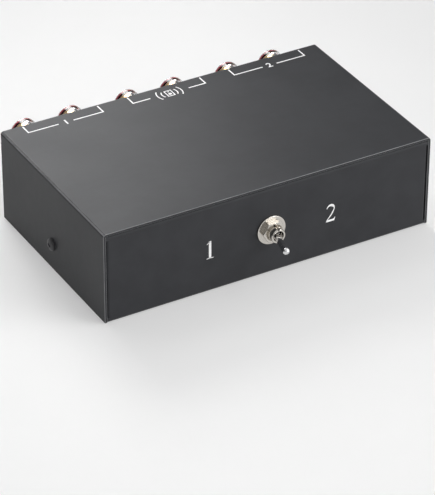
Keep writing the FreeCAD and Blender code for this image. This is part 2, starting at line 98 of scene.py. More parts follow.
POSTS = find_posts()


# Settings

def colour_setting(name, description, default):
    return FloatVectorProperty(name=name, description=description, subtype="COLOR", size=3, min=0, max=1,
                               default=default)


def length_setting(name, description, default, low, high):
    """Length whose default and limits are given in millimetres."""
    return FloatProperty(name=name, description=description, unit="LENGTH", default=default * MM,
                         min=low * MM, max=high * MM)


def power_setting(name, description, default):
    return FloatProperty(name=name, description=description, unit="POWER", default=default, min=0)


class CaseSettings(bpy.types.PropertyGroup):
    coat: colour_setting("Coat", "Colour of the powder coat", (0.036, 0.037, 0.0405))
    coat_grain: length_setting("Grain size", "Width of one bump of the powder coat", 0.32, 0.05, 2)
    ink: colour_setting("Print", "Colour of the screen print", (0.93, 0.93, 0.93))
    line: length_setting("Line width", "Width of the printed lines", 0.55, 0.1, 2)


class PostSettings(bpy.types.PropertyGroup):
    red: colour_setting("Red", "Colour of the red collars", (0.70, 0.007, 0.010))
    black: colour_setting("Black", "Colour of the black collars", (0.008, 0.008, 0.009))
    red_ring: colour_setting("Red end ring", "Colour of the end rings of the red posts",
                             (0.48, 0.045, 0.065))
    black_ring: colour_setting("Black end ring", "Colour of the end rings of the black posts",
                               (0.035, 0.036, 0.042))
    gold: colour_setting("Gold", "Colour of the flashed brass", (0.80, 0.60, 0.30))
    teeth: IntProperty(name="Knurl", description="Teeth round the knurled band", default=34, min=12, max=90)
    pitch: length_setting("Thread pitch", "Rise of the stud's thread in one turn", 1.0, 0.3, 2)


class ToggleSettings(bpy.types.PropertyGroup):
    plating: colour_setting("Plating", "Colour of the nickel plating", (0.66, 0.63, 0.585))
    lever: colour_setting("Lever", "Colour of the polished lever", (0.78, 0.78, 0.79))
    lean: FloatProperty(name="Lean", description="Lean of the lever at rest", subtype="ANGLE",
                        default=math.radians(11.5), min=0, max=math.radians(20))


class StageSettings(bpy.types.PropertyGroup):
    floor: colour_setting("Floor", "Colour of the floor", (0.84, 0.84, 0.84))
    key: power_setting("Key", "Power of the large soft lamp at the front right", 8.5)
    back: power_setting("Back", "Power of the soft lamp high behind the box", 2.6)
    panel: power_setting("Panel", "Power of the soft panel close behind the left half", 0.16)
    front: power_setting("Front", "Power of the low soft lamp before the front panel", 1.8)


# Shader node groups, each built once and shared by the materials

def add(tree, kind, **values):
    node = tree.nodes.new(kind)
    for key, value in values.items():
        setattr(node, key, value)
    return node


def feed(tree, socket, value):
    """Sets a socket to a number, or links it to another socket."""
    if isinstance(value, (int, float)):
        socket.default_value = value
    else:
        tree.links.new(value, socket)


def math_node(tree, operation, *values):
    """Math node whose inputs are sockets or numbers."""
    node = add(tree, "ShaderNodeMath", operation=operation)
    for socket, value in zip(node.inputs, values):
        feed(tree, socket, value)
    return node.outputs[0]


def new_group(name, inputs, outputs):
    """Empty node group with float sockets; gives the tree and its input and output nodes."""
    tree = bpy.data.node_groups.new(name, "ShaderNodeTree")
    for label, value in inputs:
        socket = tree.interface.new_socket(label, in_out="INPUT", socket_type="NodeSocketFloat")
        socket.default_value = value
    for label in outputs:
        tree.interface.new_socket(label, in_out="OUTPUT", socket_type="NodeSocketFloat")
    return tree, add(tree, "NodeGroupInput"), add(tree, "NodeGroupOutput")


def scaled_position(tree, size):
    """Object coordinates divided by a size, so that one unit of the texture is that long."""
    place = add(tree, "ShaderNodeTexCoord").outputs["Object"]
    scale = add(tree, "ShaderNodeVectorMath", operation="SCALE")
    tree.links.new(place, scale.inputs[0])
    tree.links.new(math_node(tree, "DIVIDE", 1.0, size), scale.inputs["Scale"])
    return scale.outputs[0]


def noise(tree, vector, detail, roughness=0.5, scale=1.0):
    node = add(tree, "ShaderNodeTexNoise")
    node.inputs["Scale"].default_value = scale
    node.inputs["Detail"].default_value = detail
    node.inputs["Roughness"].default_value = roughness
    tree.links.new(vector, node.inputs["Vector"])
    return node.outputs["Fac"]


def mapped(tree, value, low, high, to_low=0.0, to_high=1.0):
    """Smooth step of a value from one range to another."""
    node = add(tree, "ShaderNodeMapRange", interpolation_type="SMOOTHSTEP")
    settings = {"Value": value, "From Min": low, "From Max": high, "To Min": to_low, "To Max": to_high}
    for label, setting in settings.items():
        feed(tree, node.inputs[label], setting)
    return node.outputs[0]


def build_grain():
    """Rounded bumps of a sprayed or moulded skin, and the slow change of tone over it."""
    tree, start, end = new_group("skin_grain", [("Size", 0.3 * MM)], ["Height", "Tone", "Speck"])
    fine = scaled_position(tree, start.outputs["Size"])
    bumps = noise(tree, fine, 2.0)
    tree.links.new(mapped(tree, bumps, 0.3, 0.7), end.inputs["Height"])
    wide = scaled_position(tree, math_node(tree, "MULTIPLY", start.outputs["Size"], 34.0))
    tree.links.new(mapped(tree, noise(tree, wide, 4.0, 0.6), 0.3, 0.7), end.inputs["Tone"])
    specks = scaled_position(tree, math_node(tree, "MULTIPLY", start.outputs["Size"], 2.2))
    tree.links.new(mapped(tree, noise(tree, specks, 3.0, 0.7), 0.66, 0.76), end.inputs["Speck"])
    return tree


def build_handling():
    """Roughness of a surface that hands have wiped: broad smears and thin streaks between two values."""
    tree, start, end = new_group("handling", [("Size", 12 * MM), ("Low", 0.3), ("High", 0.4)], ["Roughness"])
    smear = noise(tree, scaled_position(tree, start.outputs["Size"]), 5.0, 0.65)
    stretch = add(tree, "ShaderNodeMapping")
    stretch.inputs["Rotation"].default_value = (0.3, 0.2, 0.5)
    stretch.inputs["Scale"].default_value = (0.6, 9.0, 5.0)
    tree.links.new(scaled_position(tree, start.outputs["Size"]), stretch.inputs["Vector"])
    streak = noise(tree, stretch.outputs[0], 3.0, 0.6)
    both = math_node(tree, "ADD", math_node(tree, "MULTIPLY", smear, 0.7),
                     math_node(tree, "MULTIPLY", streak, 0.3))
    rough = mapped(tree, both, 0.35, 0.65, start.outputs["Low"], start.outputs["High"])
    tree.links.new(rough, end.inputs["Roughness"])
    return tree


def build_turned_marks():
    """Fine rings that a lathe leaves about the piece's own Y axis, on barrels and on faces."""
    tree, start, end = new_group("turned_marks", [("Pitch", 0.12 * MM)], ["Height", "Band"])
    place = add(tree, "ShaderNodeSeparateXYZ")
    tree.links.new(scaled_position(tree, start.outputs["Pitch"]), place.inputs[0])
    squares = [math_node(tree, "MULTIPLY", place.outputs[axis], place.outputs[axis]) for axis in "XZ"]
    radius = math_node(tree, "SQRT", math_node(tree, "ADD", squares[0], squares[1]))
    together = add(tree, "ShaderNodeCombineXYZ")
    tree.links.new(radius, together.inputs["X"])
    tree.links.new(place.outputs["Y"], together.inputs["Y"])
    tree.links.new(noise(tree, together.outputs[0], 1.0, scale=0.6), end.inputs["Height"])
    band = noise(tree, together.outputs[0], 2.0, scale=0.11)
    tree.links.new(mapped(tree, band, 0.3, 0.7), end.inputs["Band"])
    return tree


def build_edge_wear():
    """Mask of the outer edges, broken up as rubbing breaks them up; it lightens them for edge wear and for a
    painted highlight.
    """
    tree, start, end = new_group("edge_wear", [("Width", 0.3 * MM), ("Amount", 1.0)], ["Mask"])
    soft = add(tree, "ShaderNodeBevel", samples=4)
    tree.links.new(start.outputs["Width"], soft.inputs["Radius"])
    true_normal = add(tree, "ShaderNodeNewGeometry").outputs["Normal"]
    facing = add(tree, "ShaderNodeVectorMath", operation="DOT_PRODUCT")
    tree.links.new(soft.outputs[0], facing.inputs[0])
    tree.links.new(true_normal, facing.inputs[1])
    rim = mapped(tree, facing.outputs["Value"], 0.75, 0.995, 1.0, 0.0)
    patch = math_node(tree, "MULTIPLY", start.outputs["Width"], 6.0)
    breaks = noise(tree, scaled_position(tree, patch), 4.0)
    worn_and_highlit = math_node(tree, "MULTIPLY", rim, mapped(tree, breaks, 0.35, 0.6, 0.35, 1.0))
    tree.links.new(math_node(tree, "MULTIPLY", worn_and_highlit, start.outputs["Amount"]), end.inputs["Mask"])
    return tree


GROUPS = {}


def group_node(tree, name, **values):
    """Places a shared group in a material and sets its inputs."""
    builders = {"skin_grain": build_grain, "handling": build_handling,
                "turned_marks": build_turned_marks, "edge_wear": build_edge_wear}
    if name not in GROUPS:
        GROUPS[name] = builders[name]()
    node = add(tree, "ShaderNodeGroup")
    node.node_tree = GROUPS[name]
    for label, value in values.items():
        node.inputs[label].default_value = value
    return node


# Materials

FINISHES = {}


def new_finish(name, colour, metallic=0.0, roughness=0.4):
    material = bpy.data.materials.new(name)
    material.use_nodes = True
    tree = material.node_tree
    tree.nodes.clear()
    output = add(tree, "ShaderNodeOutputMaterial")
    shader = add(tree, "ShaderNodeBsdfPrincipled")
    tree.links.new(shader.outputs[0], output.inputs["Surface"])
    shader.inputs["Base Color"].default_value = (*colour, 1)
    shader.inputs["Metallic"].default_value = metallic
    shader.inputs["Roughness"].default_value = roughness
    return material, tree, shader


def two_tones(tree, shader, mask, dark, light):
    """Base colour that runs from one colour to another with a mask."""
    blend = add(tree, "ShaderNodeMix", data_type="RGBA")
    tree.links.new(mask, blend.inputs["Factor"])
    blend.inputs["A"].default_value = (*dark, 1)
    blend.inputs["B"].default_value = (*light, 1)
    tree.links.new(blend.outputs["Result"], shader.inputs["Base Color"])
    return blend


def second_tone(tree, shader, blend, mask, colour):
    """Lays another colour over a blend that already feeds the base colour."""
    over = add(tree, "ShaderNodeMix", data_type="RGBA")
    tree.links.new(mask, over.inputs["Factor"])
    tree.links.new(blend.outputs["Result"], over.inputs["A"])
    over.inputs["B"].default_value = (*colour, 1)
    tree.links.new(over.outputs["Result"], shader.inputs["Base Color"])


def relief(tree, shader, height, depth):
    """Bump of a real depth in metres."""
    bump = add(tree, "ShaderNodeBump")
    bump.inputs["Strength"].default_value = 1.0
    bump.inputs["Distance"].default_value = depth
    tree.links.new(height, bump.inputs["Height"])
    tree.links.new(bump.outputs[0], shader.inputs["Normal"])


def shade(colour, factor):
    return tuple(min(1.0, value * factor) for value in colour)


def skin(tree, shader, colour, size, depth, dark, light):
    """Fine grain of a real depth, and a tone that runs between two shades of the colour."""
    grain = group_node(tree, "skin_grain", Size=size)
    blend = two_tones(tree, shader, grain.outputs["Tone"], shade(colour, dark), shade(colour, light))
    relief(tree, shader, grain.outputs["Height"], depth)
    return grain, blend


def wiped_gloss(tree, shader, size, low, high):
    """Roughness that runs between two values in smears of about the given size."""
    wiped = group_node(tree, "handling", Size=size, Low=low, High=high)
    tree.links.new(wiped.outputs["Roughness"], shader.inputs["Roughness"])


def once(maker):
    """Keeps the material that a maker returns under the maker's name, so that pieces share it."""
    name = maker.__name__

    def find():
        if name not in FINISHES:
            FINISHES[name] = maker(name)
        return FINISHES[name]
    return find


@once
def case_coat(name):
    settings = bpy.context.scene.selector_case
    colour = tuple(settings.coat)
    material, tree, shader = new_finish(name, colour)
    _, blend = skin(tree, shader, colour, settings.coat_grain, 0.006 * MM, 0.92, 1.08)
    shader.inputs["IOR"].default_value = 1.25
    # Lighter coat along the edges: edge wear, and a painted highlight on them
    wear_and_highlight_mask = group_node(tree, "edge_wear", Width=0.4 * MM, Amount=0.5)
    second_tone(tree, shader, blend, wear_and_highlight_mask.outputs["Mask"], WORN_AND_HIGHLIGHT_COAT)
    wiped_gloss(tree, shader, 22 * MM, 0.36, 0.42)
    return material


@once
def rubbed_coat(name):
    """Powder coat on the rounded rim of a sheet, lighter than the faces: a painted highlight on the rim and
    bends.
    """
    # Light grey that paints the highlight of the rounded rim
    colour = (0.21, 0.213, 0.22)
    material, tree, shader = new_finish(name, colour)
    skin(tree, shader, colour, 0.5 * MM, 0.003 * MM, 0.8, 1.25)
    wiped_gloss(tree, shader, 8 * MM, 0.3, 0.42)
    return material


@once
def bare_steel(name):
    material, tree, shader = new_finish(name, (0.45, 0.45, 0.44), 1.0)
    grain = group_node(tree, "skin_grain", Size=0.2 * MM)
    two_tones(tree, shader, grain.outputs["Tone"], (0.40, 0.40, 0.385), (0.52, 0.52, 0.51))
    wiped_gloss(tree, shader, 5 * MM, 0.28, 0.42)
    relief(tree, shader, grain.outputs["Height"], 0.003 * MM)
    return material


def moulded(name, colour, low, high, grain_size=0.25 * MM, depth=0.0015 * MM):
    """Moulded plastic with a faint skin and a slightly uneven gloss."""
    material, tree, shader = new_finish(name, colour)
    skin(tree, shader, colour, grain_size, depth, 0.9, 1.1)
    wiped_gloss(tree, shader, 4 * MM, low, high)
    return material


@once
def red_plastic(name):
    return moulded(name, tuple(bpy.context.scene.selector_posts.red), 0.12, 0.2)


@once
def black_plastic(name):
    return moulded(name, tuple(bpy.context.scene.selector_posts.black), 0.12, 0.2)


@once
def red_ring_plastic(name):
    return moulded(name, tuple(bpy.context.scene.selector_posts.red_ring), 0.2, 0.3)


@once
def black_ring_plastic(name):
    return moulded(name, tuple(bpy.context.scene.selector_posts.black_ring), 0.2, 0.3)


@once
def insulator_plastic(name):
    return moulded(name, (0.62, 0.59, 0.52), 0.4, 0.52, 0.2 * MM, 0.003 * MM)


@once
def housing_plastic(name):
    return moulded(name, (0.03, 0.075, 0.23), 0.32, 0.45, 0.2 * MM, 0.003 * MM)


@once
def clear_plastic(name):
    material, tree, shader = new_finish(name, (0.97, 0.965, 0.965), 0.0, 0.02)
    shader.inputs["Transmission Weight"].default_value = 1.0
    shader.inputs["IOR"].default_value = 1.49
    wiped_gloss(tree, shader, 3 * MM, 0.008, 0.04)
    grain = group_node(tree, "skin_grain", Size=1.2 * MM)
    relief(tree, shader, grain.outputs["Height"], 0.003 * MM)
    return material


def turned_metal(name, colour, low, high, pitch=0.11 * MM, depth=0.0035 * MM):
    """Plated metal with lathe rings and a gloss that changes a little from ring to ring."""
    material, tree, shader = new_finish(name, colour, 1.0)
    marks = group_node(tree, "turned_marks", Pitch=pitch)
    two_tones(tree, shader, marks.outputs["Band"], shade(colour, 0.86), shade(colour, 1.08))
    wiped_gloss(tree, shader, 2.5 * MM, low, high)
    relief(tree, shader, marks.outputs["Height"], depth)
    return material


@once
def gold_flash(name):
    return turned_metal(name, tuple(bpy.context.scene.selector_posts.gold), 0.14, 0.24)


@once
def plain_brass(name):
    return turned_metal(name, (0.66, 0.52, 0.27), 0.28, 0.42)


@once
def nickel_plate(name):
    return turned_metal(name, tuple(bpy.context.scene.selector_toggle.plating), 0.13, 0.22)


@once
def polished_lever(name):
    return turned_metal(name, tuple(bpy.context.scene.selector_toggle.lever), 0.05, 0.1, 0.14 * MM,
                        0.0012 * MM)


@once
def bright_zinc(name):
    return turned_metal(name, (0.62, 0.62, 0.61), 0.2, 0.3)


@once
def black_zinc(name):
    material = turned_metal(name, (0.045, 0.045, 0.048), 0.36, 0.48)
    tree = material.node_tree
    shader = next(node for node in tree.nodes if node.type == "BSDF_PRINCIPLED")
    shader.inputs["Metallic"].default_value = 0.0
    return material


def bore_lining(name, colour):
    """Dark coat on the walls of the socket, deep in the post: painted shade."""
    return moulded(name, colour, 0.25, 0.4, 0.15 * MM)


@once
def red_lining(name):
    return bore_lining(name, (0.16, 0.004, 0.006))


@once
def black_lining(name):
    return bore_lining(name, (0.006, 0.006, 0.006))


@once
def print_ink(name):
    colour = tuple(bpy.context.scene.selector_case.ink)
    material, tree, shader = new_finish(name, colour)
    grain, blend = skin(tree, shader, colour, 0.3 * MM, 0.005 * MM, 0.93, 1.03)
    second_tone(tree, shader, blend, grain.outputs["Speck"], shade(colour, 0.7))
    wiped_gloss(tree, shader, 6 * MM, 0.42, 0.55)
    return material


# Mesh helpers; lengths in their arguments are millimetres, meshes are in metres

def wear_material(obj, *materials):
    """Sets the materials of a mesh and keeps which face wears which."""
    slots = obj.data.materials
    while len(slots) < len(materials):
        slots.append(None)
    for i, material in enumerate(materials):
        slots[i] = material


def new_object(name, data):
    obj = bpy.data.objects.new(name, data)
    bpy.context.scene.collection.objects.link(obj)
    return obj


def new_mesh(name, bm, materials=()):
    """Mesh from a bmesh, which is freed."""
    bmesh.ops.recalc_face_normals(bm, faces=bm.faces)
    mesh = bpy.data.meshes.new(name)
    for material in materials:
        mesh.materials.append(material)
    bm.to_mesh(mesh)
    bm.free()
    return mesh


def even_shading(obj):
    level = obj.modifiers.new("even_shading", "WEIGHTED_NORMAL")
    level.keep_sharp = True
    level.weight = 80


def make_piece(name, bm, materials, place=(0, 0, 0), sharp_above=38):
    """Object from a bmesh, smooth except at real edges, with its object coordinates at place."""
    mesh = new_mesh(name, bm, materials)
    mesh.shade_smooth()
    mesh.set_sharp_from_angle(angle=math.radians(sharp_above))
    obj = new_object(name, mesh)
    obj.location = place
    even_shading(obj)
    return obj


def copy_piece(source, name, place, materials=None):
    """Another object of the same mesh, or of a copy with other materials."""
    obj = source.copy()
    obj.name = name
    if materials:
        obj.data = source.data.copy()
        wear_material(obj, *materials)
    bpy.context.scene.collection.objects.link(obj)
    obj.location = place
    return obj


def softened(outline, radius=0.1, steps=4):
    """Closed outline with its corners rounded; a point may give its own radius as a third number."""
    points = []
    for i, point in enumerate(outline):
        here = Vector(point[:2])
        before = Vector(outline[i - 1][:2])
        after = Vector(outline[(i + 1) % len(outline)][:2])
        own = point[2] if len(point) == 3 else radius
        reach = min(own, (before - here).length * 0.48, (after - here).length * 0.48)
        if reach < 1e-5 or here.x < 1e-6:
            points.append((here.x, here.y))
            continue
        start = here + (before - here).normalized() * reach
        finish = here + (after - here).normalized() * reach
        for step in range(steps + 1):
            t = step / steps
            bent = start * (1 - t) ** 2 + here * 2 * t * (1 - t) + finish * t * t
            points.append((bent.x, bent.y))
    return points


def along(radius, y0, y1, step):
    """Evenly spaced outline points on a straight barrel."""
    count = max(1, round(abs(y1 - y0) / step))
    return [(radius, y0 + (y1 - y0) * i / count) for i in range(count + 1)]


def turned(outline, segments, cut=None):
    """Mesh turned about Y from a closed outline; cut(radius, y, turn) may change a point's radius."""
    bm = bmesh.new()
    rows = []
    for radius, y in outline:
        if radius < 1e-6:
            rows.append([bm.verts.new((0, y * MM, 0))])
            continue
        row = []
        for i in range(segments):
            turn = 2 * math.pi * i / segments
            r = cut(radius, y, turn) if cut else radius
            row.append(bm.verts.new((r * math.cos(turn) * MM, y * MM, r * math.sin(turn) * MM)))
        rows.append(row)
    for a, b in zip(rows, rows[1:] + rows[:1]):
        if len(a) == len(b) == 1:
            continue
        for i in range(segments):
            j = (i + 1) % segments
            corners = [a[i % len(a)], a[j % len(a)], b[j % len(b)], b[i % len(b)]]
            bm.faces.new(list(dict.fromkeys(corners)))
    return bm


def soft_turned(outline):
    """Turned mesh of an outline with rounded corners."""
    return turned(softened(outline), 96)


def prism(corners, y0, y1, shrink=1.0):
    """Prism along Y from (x, z) corners; its far end may be scaled."""
    bm = bmesh.new()
    ends = []
    for y, size in ((y0, 1.0), (y1, shrink)):
        ends.append([bm.verts.new((x * size * MM, y * MM, z * size * MM)) for x, z in corners])
    bm.faces.new(ends[0])
    bm.faces.new(reversed(ends[1]))
    for i in range(len(corners)):
        j = (i + 1) % len(corners)
        bm.faces.new((ends[0][i], ends[0][j], ends[1][j], ends[1][i]))
    bmesh.ops.recalc_face_normals(bm, faces=bm.faces)
    return bm


def combined(first, second, operation):
    """Boolean of two meshes, as a new bmesh."""
    objects = [new_object("tool", new_mesh("tool", bm)) for bm in (first, second)]
    step = objects[0].modifiers.new("step", "BOOLEAN")
    step.operation = operation
    step.object = objects[1]
    step.solver = "EXACT"
    shown = objects[0].evaluated_get(bpy.context.evaluated_depsgraph_get())
    result = bmesh.new()
    result.from_mesh(shown.to_mesh())
    shown.to_mesh_clear()
    for obj in objects:
        mesh = obj.data
        bpy.data.objects.remove(obj)
        bpy.data.meshes.remove(mesh)
    return result


def stands_for(obj, node, slot, body):
    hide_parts(node)
    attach(obj, body)


def fit_posts(label, pattern, node, slot, body, black_finish=None):
    """Copies a pattern to every post, in another finish on the black ones if one is given.

    In the names of node, slot and body, {name} and {colour} stand for those of the post.
    """
    patterns = {"red": pattern, "black": pattern}
    if black_finish:
        patterns["black"] = copy_piece(pattern, label + "black", (0, 0, 0), black_finish)
    for post in POSTS:
        words = {"name": post["name"], "colour": "red" if post["red"] else "black"}
        obj = copy_piece(patterns[words["colour"]], label + post["name"], post["at"])
        stands_for(obj, node.format(**words), slot.format(**words), body.format(**words))
    for used in dict.fromkeys(patterns.values()):
        bpy.data.objects.remove(used)


def refined(node, slot, body, material, edge, rim=None):
    """Copy of a CAD node with its edges rounded; a rim finish, a lighter coat that paints a highlight,
    covers the rounds and the bends above.
    """
    bm = bmesh.new()
    bm.from_mesh(NODES[node].data)
    bmesh.ops.remove_doubles(bm, verts=bm.verts, dist=1e-6)
    bmesh.ops.dissolve_limit(bm, angle_limit=math.radians(0.5), verts=bm.verts, edges=bm.edges)
    bm.normal_update()
    for face in bm.faces:
        # Bends between the top and the sides take the rim finish too, a painted highlight
        if rim and min(abs(face.normal.x), face.normal.z) > 0.5:
            face.material_index = 1
    obj = make_piece(node + "_shown", bm, [material, rim] if rim else [material])
    obj.modifiers.remove(obj.modifiers["even_shading"])
    round_edges = obj.modifiers.new("round_edges", "BEVEL")
    round_edges.width = edge * MM
    round_edges.segments = 2
    round_edges.limit_method = "ANGLE"
    round_edges.angle_limit = math.radians(50)
    if rim:
        # The rounds take the rim finish, a painted highlight
        round_edges.material = 1
    even_shading(obj)
    stands_for(obj, node, slot, body)


# Printed marks, laid on a face as thin plates

def plates(outlines, thickness):
    """Thin plates from closed (u, v) outlines in millimetres, in the local XY plane."""
    bm = bmesh.new()
    for outline in outlines:
        low = [bm.verts.new((u * MM, v * MM, 0)) for u, v in outline]
        high = [bm.verts.new((u * MM, v * MM, thickness)) for u, v in outline]
        bm.faces.new(low)
        bm.faces.new(reversed(high))
        for i in range(len(outline)):
            j = (i + 1) % len(outline)
            bm.faces.new((low[i], high[i], high[j], low[j]))
    return bm


def bar(u0, v0, u1, v1, width):
    """Outline of a straight line of a given width."""
    run = Vector((u1 - u0, v1 - v0))
    side = Vector((-run.y, run.x)).normalized() * width / 2
    start = Vector((u0, v0))
    finish = Vector((u1, v1))
    return [tuple(start - side), tuple(finish - side), tuple(finish + side), tuple(start + side)]


def stroke(points, widths):
    """Outline of a pen stroke along points, with the pen's width at each."""
    left, right = [], []
    for i, point in enumerate(points):
        before = Vector(points[max(0, i - 1)])
        after = Vector(points[min(len(points) - 1, i + 1)])
        side = Vector((before.y - after.y, after.x - before.x)).normalized() * widths[i] / 2
        left.append(tuple(Vector(point) + side))
        right.append(tuple(Vector(point) - side))
    return right + left[::-1]


def arc_points(u, v, radius, from_deg, to_deg, steps):
    turns = [math.radians(from_deg + (to_deg - from_deg) * i / steps) for i in range(steps + 1)]
    return [(u + radius * math.cos(t), v + radius * math.sin(t)) for t in turns]


def text_marks(text, size, weight):
    """Mesh of a short text in Blender's own font, centred, as a thin plate."""
    curve = bpy.data.curves.new("text", "FONT")
    curve.body = text
    curve.size = size * MM
    curve.align_x = "CENTER"
    curve.align_y = "CENTER"
    curve.offset = weight * MM
    curve.extrude = PROUD / 2
    curve.resolution_u = 6
    obj = new_object("text", curve)
    shown = obj.evaluated_get(bpy.context.evaluated_depsgraph_get())
    bm = bmesh.new()
    bm.from_mesh(shown.to_mesh())
    shown.to_mesh_clear()
    bpy.data.objects.remove(obj)
    bpy.data.curves.remove(curve)
    bmesh.ops.translate(bm, verts=bm.verts, vec=(0, 0, PROUD / 2))
    return bm


# Level of each face that is printed, and how marks in the XY plane turn to lie on it
FACES = {
    "front": (FRONT_Y, Matrix(((1, 0, 0), (0, 0, -1), (0, 1, 0)))),
    "rear": (REAR_Y, Matrix(((-1, 0, 0), (0, 0, 1), (0, 1, 0)))),
    "top": (TOP_Z, Matrix.Identity(3)),
}


def print_on(name, face, u, v, bm):
    """Lays marks on a face of the case with their middle at (u, v) in millimetres."""
    for f in bm.faces:
        f.smooth = False
    obj = new_object(name, new_mesh(name, bm, [print_ink()]))
    level, turn = FACES[face]
    place = (u * MM, v * MM, level) if face == "top" else (u * MM, level, v * MM)
    obj.matrix_world = Matrix.Translation(place) @ turn.to_4x4()
    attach(obj, "case")


# Operators, one for each piece or group of like pieces

class SELECTOR_OT_case_sheets(bpy.types.Operator):
    """Coat the cover, the tray and the rear panel"""
    bl_idname = "selector.case_sheets"
    bl_label = "Case sheets"

    def execute(self, context):
        # The cover's rounded rims and bends take a lighter coat, a painted highlight
        refined("top_cover", "case_black", "case", case_coat(), 0.36, rubbed_coat())
        refined("base_tray", "case_black", "case", case_coat(), 0.1)
        refined("rear_panel", "case_black", "case", case_coat(), 0.1)
        return {"FINISHED"}


def pan_head_mesh():
    """Pan head with a tapered cross recess and a short shank, underside of the head at y = 0."""
    head, rise, high = SCREW_HEAD, 0.7, 1.5
    crown = [(head * math.cos(math.radians(a)), rise + (high - rise) * math.sin(math.radians(a)))
             for a in range(10, 90, 10)]
    outline = [(0, high), (0, -6.0), (1.0, -6.0), (1.25, -5.6)]
    outline += along(1.25, -5.6, 0.0, 0.12)[1:]
    outline += [(head - 0.1, 0.0), (head, 0.1), (head, rise)] + crown

    def thread(radius, y, turn):
        if abs(radius - 1.25) > 0.01 or y > -0.05:
            return radius
        wave = (y / 0.45 - turn / (2 * math.pi)) % 1.0
        return radius - 0.2 * abs(2 * wave - 1)

    body = turned(outline, 48, thread)
    a, b = 0.36, 1.35
    cross = [(a, a), (b, a), (b, -a), (a, -a), (a, -b), (-a, -b), (-a, -a), (-b, -a), (-b, a), (-a, a),
             (-a, b), (a, b)]
    return combined(body, prism(cross, 1.7, 0.55, 0.5), "DIFFERENCE")


class SELECTOR_OT_case_screws(bpy.types.Operator):
    """Put the cross recess screws in the sides and in the rear panel"""
    bl_idname = "selector.case_screws"
    bl_label = "Case screws"

    def execute(self, context):
        low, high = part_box("side_screws")
        first = make_piece("screw_first", pan_head_mesh(), [black_zinc()])
        for label, sign in (("left", -1), ("right", 1)):
            screw = copy_piece(first, "side_screw_" + label, (sign * COVER_HIGH.x, 0, (low.z + high.z) / 2))
            screw.rotation_euler = (0, 0, math.radians(-90 * sign))
            stands_for(screw, "side_screws", "screw_black", "case")
        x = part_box("rear_screws")[1].x - SCREW_HEAD * MM
        for label, place, stop in (("left", -x, 25), ("right", x, -18)):
            screw = copy_piece(first, "rear_screw_" + label, (place, REAR_Y, MID_Z), [bright_zinc()])
            screw.rotation_euler = (0, math.radians(stop), 0)
            stands_for(screw, "rear_screws", "screw_bright", "case")
        bpy.data.objects.remove(first)
        return {"FINISHED"}


class SELECTOR_OT_post_collars(bpy.types.Operator):
    """Turn the red and black collars under the caps"""
    bl_idname = "selector.post_collars"
    bl_label = "Post collars"

    def execute(self, context):
        outline = [(3.05, 0.0, 0.02), (5.8, 0.0, 0.15), (5.8, 3.0, 0.45), (3.05, 3.0, 0.1)]
        pattern = make_piece("collar_red", soft_turned(outline), [red_plastic()])
        fit_posts("collar_", pattern, "post_collars_{colour}", "plastic_{colour}", "case", [black_plastic()])
        return {"FINISHED"}


def stud_mesh(pitch):
    """Threaded tube with a rounded mouth and a bore that ends in a cone; the bore walls take a dark coat of
    painted shade.
    """
    bore, crest, end, round_h = 2.05, 3.0, 10.4, 0.5
    lip = [math.radians(18 * i) for i in range(1, 10)]
    middle, half = (crest + bore) / 2, (crest - bore) / 2
    outline = [(0, -8.0), (2.6, -8.0)] + along(crest, -7.7, end - round_h, 0.14)
    outline += [(middle + half * math.cos(a), end - round_h + round_h * math.sin(a)) for a in lip]
    outline += [(bore, end - round_h)] + along(bore, 9.6, -5.2, 2.4) + [(0.9, -6.1), (0, -6.1)]

    def thread(radius, y, turn):
        if abs(radius - crest) > 0.01:
            return radius
        wave = (y / pitch - turn / (2 * math.pi)) % 1.0
        return radius - 0.34 * abs(2 * wave - 1)

    bm = turned(outline, 56, thread)
    # Bore walls take the dark coat, painted shade deep in the hole
    for face in bm.faces:
        centre = face.calc_center_median()
        if math.hypot(centre.x, centre.z) < 2.2 * MM and -6.2 * MM < centre.y < 9.8 * MM:
            face.material_index = 1
    return bm


class SELECTOR_OT_post_studs(bpy.types.Operator):
    """Thread the hollow studs that the plugs enter"""
    bl_idname = "selector.post_studs"
    bl_label = "Post studs"

    def execute(self, context):
        pitch = context.scene.selector_posts.pitch / MM
        pattern = make_piece("stud_red", stud_mesh(pitch), [gold_flash(), red_lining()], sharp_above=50)
        fit_posts("stud_", pattern, "post_studs", "brass", "case", [gold_flash(), black_lining()])
        return {"FINISHED"}


class SELECTOR_OT_cap_sleeves(bpy.types.Operator):
    """Mould the clear sleeves of the caps"""
    bl_idname = "selector.cap_sleeves"
    bl_label = "Cap sleeves"

    def execute(self, context):
        outline = [(5.0, 3.15, 0.1), (5.5, 3.15, 0.22), (5.5, 11.5, 0.18), (5.2, 11.5, 0.08),
                   (5.2, 10.46, 0.05), (3.56, 10.36, 0.05), (3.56, 6.28, 0.1), (5.0, 6.02, 0.1)]
        pattern = make_piece("sleeve_first", soft_turned(outline), [clear_plastic()])
        fit_posts("sleeve_", pattern, "cap_shell_{name}", "clear", "cap_{name}")
        return {"FINISHED"}


def insert_mesh(teeth):
    """Brass insert with a diamond knurled band, a coned shoulder and a smooth barrel."""
    crest, depth = 4.94, 0.3
    outline = [(3.05, 3.4), (3.2, 3.3), (4.5, 3.3), (4.64, 3.36)]
    outline += along(crest, 3.5, 5.75, 0.075)
    outline += [(4.64, 5.87), (4.5, 5.92), (3.6, 6.14), (3.48, 6.22), (3.48, 10.25), (3.4, 10.45),
                (3.28, 10.5), (3.15, 10.5), (3.05, 10.42)]

    def knurl(radius, y, turn):
        if abs(radius - crest) > 0.01:
            return radius
        step = 2 * math.pi * crest / teeth
        first = (turn * teeth / (2 * math.pi) + y / step) % 1.0
        second = (turn * teeth / (2 * math.pi) - y / step) % 1.0
        return radius - depth * max(abs(2 * first - 1), abs(2 * second - 1))

    return turned(outline, teeth * 4, knurl)


